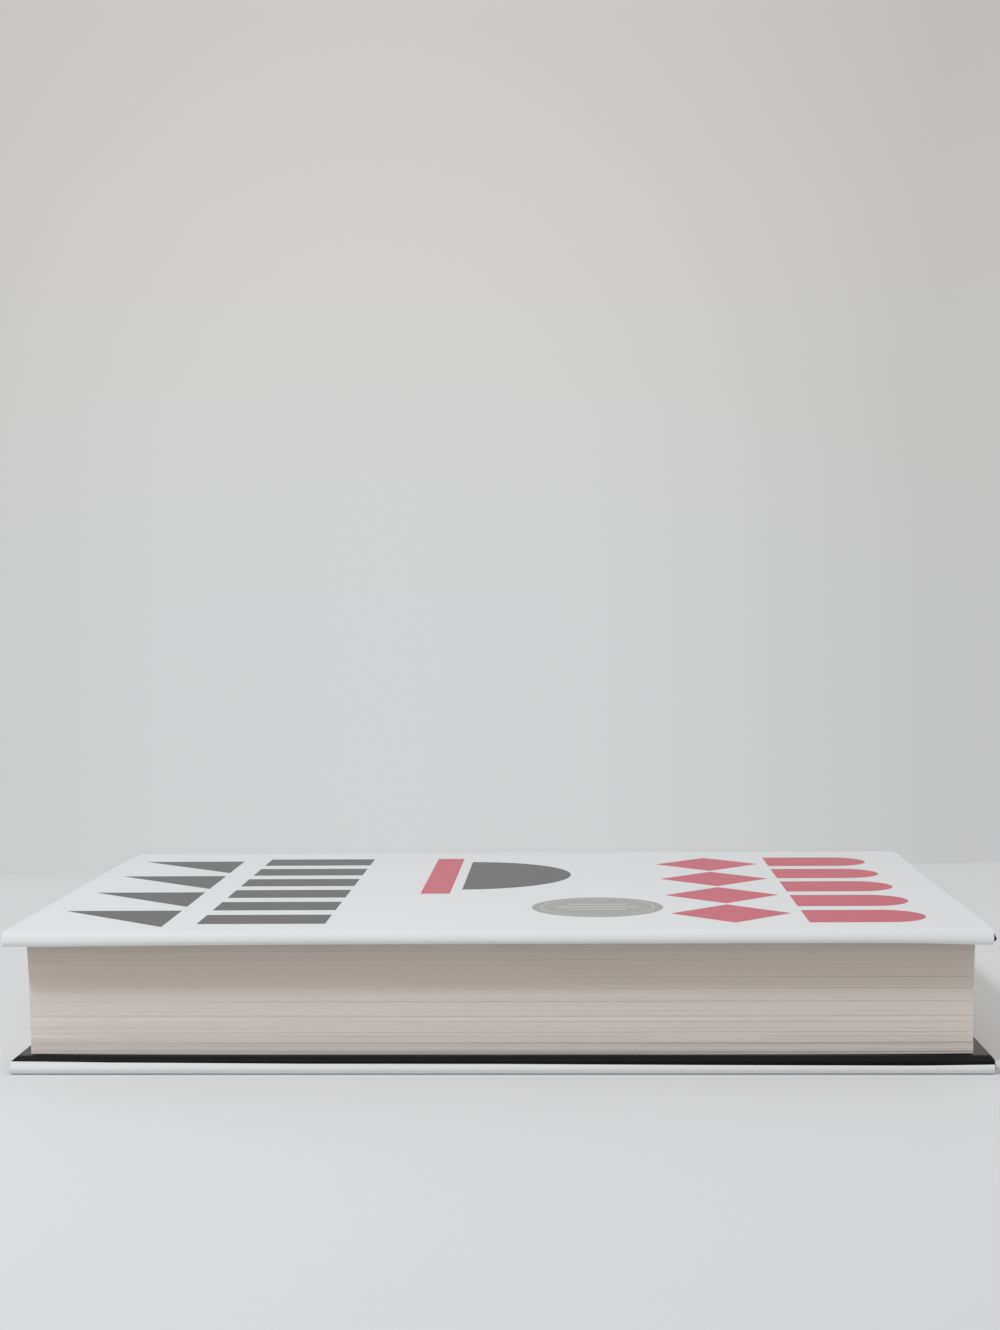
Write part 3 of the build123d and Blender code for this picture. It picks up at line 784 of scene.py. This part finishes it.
jacket_x = np.linspace(-1, 1, 61)
for side, name in ((1, "front"), (-1, "back")):
    board_spine = board_edges(side)[1]
    panel_z = level(side, jacket / 2)
    flap_z = level(side, flap_depth + jacket / 2)
    fold_y = cover_y(side, -fold_reach) + jacket / 2
    fold_centre = (fold_y + fold_radius, (panel_z + flap_z) / 2)
    bridge_z = level(side, joint_dip + jacket / 2)
    # From the flap's edge round the fold and over the cover
    line = run([(fold_y + flap_width, flap_z), (fold_y + fold_radius + 4, flap_z)], 8)
    line += run([line[-1], (fold_y + fold_radius, flap_z)], 0.5)[1:]
    fold_start = len(line) - 1
    line += arc(fold_centre, fold_radius, side * 270, side * 90, fold_rows + 1)[1:]
    line += run([line[-1], (fold_y + fold_radius + 4, panel_z)], 0.5)[1:]
    line += run([line[-1], (board_spine - 3, panel_z)], 6)[1:]
    line += run([line[-1], (board_spine + 0.2, panel_z)], 0.4)[1:]
    # It dips over the joint, and goes round the crest of the shoulder on to the spine
    line += [(board_spine + 0.2 + t * (hinge_lines[side] - board_spine - 0.2),
              panel_z + (bridge_z - panel_z) * smooth(t)) for t in np.linspace(0, 1, 16)[1:]]
    crest_y = round_y(jacket_spine_radius, bridge_z)
    line += run([line[-1], (crest_y - crest_room, bridge_z)], 0.2)[1:]
    line += over_crest(line[-1], jacket_spine_radius, bridge_z, side, jacket_to_crest,
                       jacket_past_crest, 10)
    grid = spread_out(line, jacket_half * jacket_x)
    to_hinge = (hinge_lines[side] - grid[:, :, 1]) / skew_fade
    grid[:, :, 0] -= side * cover_skew * np.clip(to_hinge, 0, 1)

    # Where the black ends on the fold: its angle from the flap, from the tail to the head.
    # The row at 45 degrees is moved there, and its neighbours less and less
    if side == -1:
        edge_angle = np.interp(jacket_x, [-1, -0.8, -0.4, 0, 0.4, 0.85, 1],
                               [5, 26, 42, 45, 55, 62, 52])
    else:
        edge_angle = 5 - 2 * jacket_x
    row_angles = np.linspace(0, 180, fold_rows + 1)
    edge_row = fold_start + row_at_45
    share = 1 - np.abs(row_angles - 45) / np.where(row_angles < 45, 45, 135)
    for column, wanted in enumerate(edge_angle):
        shifted = row_angles + (wanted - 45) * share
        for k, angle in enumerate(shifted):
            turn = math.radians(side * (270 - angle))
            grid[fold_start + k, column, 1] = fold_centre[0] + fold_radius * math.cos(turn)
            below = math.sin(turn)
            if side == -1 and below < 0:
                # The book's weight has pressed the lower half of the back fold flatter
                below -= fold_press * (below + math.cos(turn) + 1)
            grid[fold_start + k, column, 2] = fold_centre[1] + fold_radius * below
    if side == 1:
        # The front fold hangs a little open under the cover's two corners
        x, y, z = grid[:, :, 0], grid[:, :, 1], grid[:, :, 2]
        hanging = fold_droop + tail_droop * np.exp(-((x + jacket_half) / tail_reach) ** 2)
        hanging += head_droop * np.exp(-((x - jacket_half) / head_reach) ** 2)
        inward = np.clip(1 - (y - fold_centre[0]) / droop_inward, 0, 1)
        grid[:, :, 2] -= hanging * inward * np.clip((panel_z - z) / fold_radius, 0, 1)
        grid = grid[::-1]
        black_from, black_to = len(line) - 1 - edge_row, len(line) - 1
    else:
        # The head end of the back fold is rubbed round
        rounded = np.clip(1 - (grid[:, :, 1] - fold_y) / rounding_inward, 0, 1)
        rounded *= np.clip(1 + (grid[:, :, 0] - jacket_half) / rounding_along, 0, 1)
        grid[:, :, 0] -= end_rounding * rounded * rounded
        black_from, black_to = 0, edge_row
    points, faces, sides = sheet_of(grid, jacket - air)
    slots = np.where(sides == 0, 0, 2)
    rows = np.repeat(np.arange(len(line) - 1), len(jacket_x) - 1)
    slots[:len(rows)][(rows >= black_from) & (rows < black_to)] = 1
    wrap = piece(f"{name}_jacket_wrap", points, faces.tolist(), jacket_surfaces, slots)
    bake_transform(wrap)
    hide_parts(f"jacket_{name}", f"{name}_flap_ink")

lowest, highest = [round_angle(jacket_spine_radius, level(side, joint_dip + jacket / 2))
                   - side * jacket_past_crest for side in (-1, 1)]
line = arc(back_centre, jacket_spine_radius, highest, lowest, 49)
points, faces, sides = sheet_of(spread_out(line, jacket_half * jacket_x), jacket - air)
spine_wrap = piece("spine_jacket_wrap", points, faces.tolist(), jacket_surfaces,
                   np.where(sides == 0, 0, 2))
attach(spine_wrap, "book_block")
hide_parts("jacket_spine")

# Print on the front panel: flat fields of red and charcoal ink, laid down by offset press
# before the film went over them.
# Ink: offset ink under satin film. The eye gets flat colour, faintly mottled, with a sheen.
# Painted sheen: both ink colours are set a little lighter than the inks themselves
for name, label, colour in (("front_ink_red", "red_ink_under_film", "D34C66"),
                            ("front_ink_charcoal", "charcoal_ink_under_film", "4C4C4D")):
    ink, tree, shader, place = finish(label, colour, 0.36, IOR=1.5)
    # Mottle 2 mm across, and the film's grain as on the rest of the jacket
    mottle = node(tree, "ShaderNodeTexNoise", {"Vector": place, "Scale": 500, "Detail": 3.0})
    lift = node(tree, "ShaderNodeMapRange", {"Value": mottle.outputs["Fac"], "To Min": 0.92,
                                             "To Max": 1.08})
    tone = node(tree, "ShaderNodeHueSaturation", {"Value": lift.outputs["Result"],
                                                  "Color": linear(colour)})
    tree.links.new(tone.outputs["Color"], shader.inputs["Base Color"])
    grain = node(tree, "ShaderNodeTexNoise", {"Vector": place, "Scale": 2500, "Detail": 2.0})
    bump = node(tree, "ShaderNodeBump", {"Height": grain.outputs["Fac"], "Strength": 0.12,
                                         "Distance": 0.00002})
    tree.links.new(bump.outputs["Normal"], shader.inputs["Normal"])
    coat(name, ink)

# Seal: a round sticker of grey paper, printed with a pale ring and three pale bars and
# pressed on the jacket. Its lengths are in metres, as its box is.
ring_share = 0.86
ring_half = 0.0003
bar_half = 0.0011
seal_bars = ((-0.0045, 0.0075), (0.0, 0.0105), (0.0045, 0.0075))
seal_low, seal_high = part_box("front_seal")
seal_middle = (seal_low + seal_high) / 2
seal_radius = (seal_high.x - seal_low.x) / 2
# Sticker paper: smooth, coated. The eye gets a dull grey, a little glossier than the jacket.
seal_paper, tree, shader, place = finish("grey_sticker_paper", "ACADA9", 0.45, IOR=1.5)
centred = node(tree, "ShaderNodeVectorMath", {0: place,
                                              1: (seal_middle.x, seal_middle.y, seal_high.z)},
               operation="SUBTRACT")
parts = node(tree, "ShaderNodeSeparateXYZ", {"Vector": centred.outputs["Vector"]})
reach = node(tree, "ShaderNodeVectorMath", {0: centred.outputs["Vector"]}, operation="LENGTH")
ring = node(tree, "ShaderNodeMath", {0: reach.outputs["Value"], 1: ring_share * seal_radius,
                                     2: ring_half}, operation="COMPARE")
marks = [ring.outputs["Value"]]
for offset, half_length in seal_bars:
    beside = node(tree, "ShaderNodeMath", {0: parts.outputs["Y"], 1: offset, 2: bar_half},
                  operation="COMPARE")
    within = node(tree, "ShaderNodeMath", {0: parts.outputs["X"], 1: 0.0, 2: half_length},
                  operation="COMPARE")
    bar = node(tree, "ShaderNodeMath", {0: beside.outputs["Value"], 1: within.outputs["Value"]},
               operation="MULTIPLY")
    both = node(tree, "ShaderNodeMath", {0: marks[-1], 1: bar.outputs["Value"]},
                operation="MAXIMUM")
    marks.append(both.outputs["Value"])
tone = node(tree, "ShaderNodeMix", {0: marks[-1], 6: linear("ACADA9"), 7: linear("C6C7C4")},
            data_type="RGBA")
tree.links.new(tone.outputs[2], shader.inputs["Base Color"])
coat("front_seal", seal_paper)

# Room: a plain pale table top, whose far edge runs a little askew behind the book, in an even
# pale surround. It isn't part of the book.
# Paint: matt, rolled on. The eye gets a near white with a faint soft reflection.
table_reach = 2500
table_far = {"left": 166, "right": 456}
table_paint, tree, shader, place = finish("pale_matt_table", "E6E7E8", 0.55, IOR=1.45)
# Painted light and shade: it is lighter next to the book, against the book's shade, and darker
# toward the near edge, against the lamp's light
depth = node(tree, "ShaderNodeSeparateXYZ", {"Vector": place})
shade = node(tree, "ShaderNodeMapRange", {"Value": depth.outputs["Y"], "From Min": -0.25,
                                          "From Max": -0.09})
tone = node(tree, "ShaderNodeMix", {0: shade.outputs["Result"], 6: linear("E0E1E2"),
                                    7: linear("EBECED")}, data_type="RGBA")
tree.links.new(tone.outputs[2], shader.inputs["Base Color"])
# The roller's grain, 1.5 mm
grain = node(tree, "ShaderNodeTexNoise", {"Vector": place, "Scale": 700, "Detail": 2.0})
bump = node(tree, "ShaderNodeBump", {"Height": grain.outputs["Fac"], "Strength": 0.1,
                                     "Distance": 0.0001})
tree.links.new(bump.outputs["Normal"], shader.inputs["Normal"])
table = piece("table", [(-table_reach, -table_reach, 0), (table_reach, -table_reach, 0),
                        (table_reach, table_far["right"], 0),
                        (-table_reach, table_far["left"], 0)], [(0, 1, 2, 3)], [table_paint])

lightest_x = -0.094
world = bpy.data.worlds.new("pale_surround")
bpy.context.scene.world = world
world.use_nodes = True
sky = world.node_tree
place = node(sky, "ShaderNodeTexCoord")
parts = node(sky, "ShaderNodeSeparateXYZ", {"Vector": place.outputs["Generated"]})
# The surround is lightest a little left of the middle, and falls off to both sides
beside = node(sky, "ShaderNodeMath", {0: parts.outputs["X"], 1: -lightest_x}, operation="ADD")
fall = node(sky, "ShaderNodeMath", {0: beside.outputs["Value"], 1: 2.0}, operation="POWER")
wall = node(sky, "ShaderNodeValToRGB", {"Fac": fall.outputs["Value"]})
wall.color_ramp.elements[0].color = linear("D2D3D4")
wall.color_ramp.elements[1].color = linear("CDCDCC")
for spot, colour in ((0.07, "C4C5C5"), (0.3, "CDCDCC")):
    wall.color_ramp.elements.new(spot).color = linear(colour)
# It is neutral near the table, warmer and darker higher up, and neutral again overhead
tint = node(sky, "ShaderNodeValToRGB", {"Fac": parts.outputs["Z"]})
tint.color_ramp.elements[0].color = (0.985, 0.982, 0.98, 1.0)
tint.color_ramp.elements[1].color = (1.0, 1.0, 0.99, 1.0)
for spot, colour in ((0.1, (0.985, 0.98, 0.96, 1.0)), (0.19, (0.985, 0.953, 0.928, 1.0)),
                     (0.27, (0.948, 0.908, 0.881, 1.0)), (0.5, (1.0, 1.0, 0.99, 1.0))):
    tint.color_ramp.elements.new(spot).color = colour
tinted = node(sky, "ShaderNodeMix", {0: 1.0, 6: wall.outputs["Color"], 7: tint.outputs["Color"]},
              data_type="RGBA", blend_type="MULTIPLY")
sky.links.new(tinted.outputs[2], sky.nodes["Background"].inputs["Color"])

# Light: one soft source on the left in front of the book and above it, a little cooler than
# the surround
lamp_from = Vector((-0.42, -0.62, 0.815))
lamp_data = bpy.data.lights.new("soft_light", "AREA")
lamp_data.shape = "DISK"
lamp_data.size = 0.115
lamp_data.energy = 4.1
lamp_data.color = (0.975, 0.99, 1.03)
lamp = bpy.data.objects.new("soft_light", lamp_data)
lamp.location = lamp_from
lamp.rotation_mode = "QUATERNION"
lamp.rotation_quaternion = (-lamp_from).to_track_quat("-Z", "Y")
bpy.context.scene.collection.objects.link(lamp)

# Camera: half a metre in front of the fore-edge, a little above the book. Its focal length
# is worked out from a picture 1330 pixels high.
camera_place = (0.019606, -0.574530, 0.114330)
focal_pixels = 2053.781
picture_height = 1330
yaw, pitch, roll = (math.radians(a) for a in (2.0885, 1.7019, -0.4882))
forward = Vector((-math.sin(yaw) * math.cos(pitch), math.cos(yaw) * math.cos(pitch),
                  -math.sin(pitch)))
right = forward.cross(Vector((0, 0, 1))).normalized()
up = right.cross(forward)
camera_x = right * math.cos(roll) + up * math.sin(roll)
camera_y = up * math.cos(roll) - right * math.sin(roll)
camera_data = bpy.data.cameras.new("camera")
camera_data.sensor_width = 36
camera_data.lens = focal_pixels * camera_data.sensor_width / picture_height
camera_data.clip_start = 0.01
camera = bpy.data.objects.new("camera", camera_data)
aimed = Matrix((camera_x, camera_y, -forward)).transposed().to_4x4()
camera.matrix_world = Matrix.Translation(camera_place) @ aimed
bpy.context.scene.collection.objects.link(camera)
bpy.context.scene.camera = camera
bpy.context.scene.view_settings.view_transform = "Standard"
